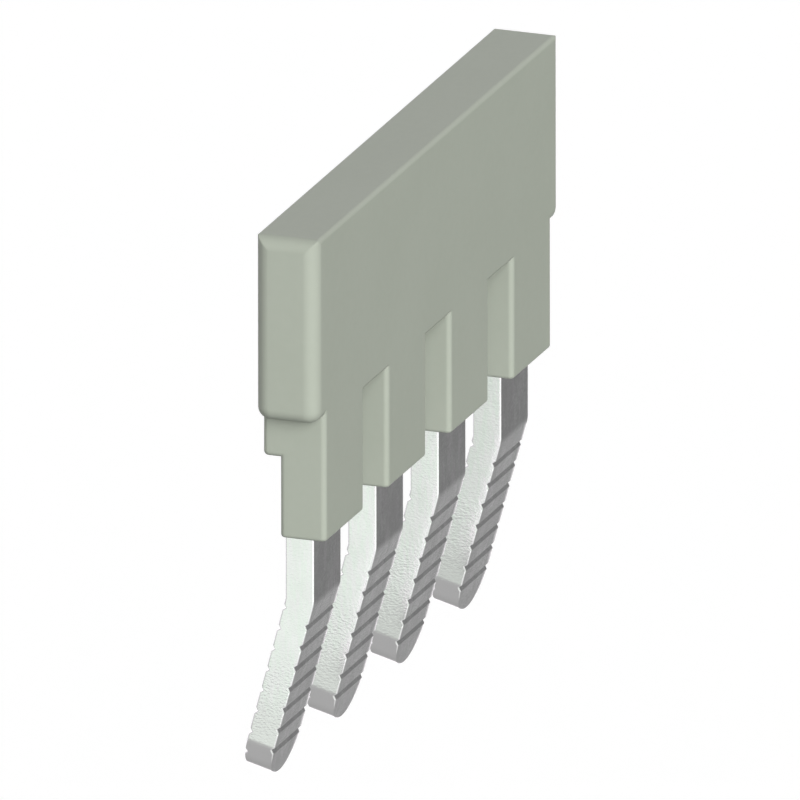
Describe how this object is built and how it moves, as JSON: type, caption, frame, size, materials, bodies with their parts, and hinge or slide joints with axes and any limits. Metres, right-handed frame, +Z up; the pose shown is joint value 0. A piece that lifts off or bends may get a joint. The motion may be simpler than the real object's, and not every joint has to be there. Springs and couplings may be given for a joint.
{
  "type": "terminal block jumper",
  "caption": "Plug-in jumper: a serrated, bent metal comb moulded into a thin grey grip, which bridges neighbouring terminal blocks.",
  "frame": {"origin": "middle of the row of prongs, in the plane of the finger ends that seats on the terminal blocks, halfway through the sheet", "axes": "+X along the row of prongs, +Y towards the side that the prongs bend to, -Y out of the large closed face, +Z up out of the terminal blocks"},
  "size_m": [0.0242, 0.0034, 0.02],
  "materials": {
    "grey_plastic": "finely textured moulded plastic, warm grey with a slight green cast",
    "plated_metal": "bright tin-plated sheet, brushed along its length, with sheared edges"
  },
  "bodies": {
    "root": {"insulating_housing": "grey_plastic", "bridge_comb": "plated_metal"}
  },
  "joints": []
}
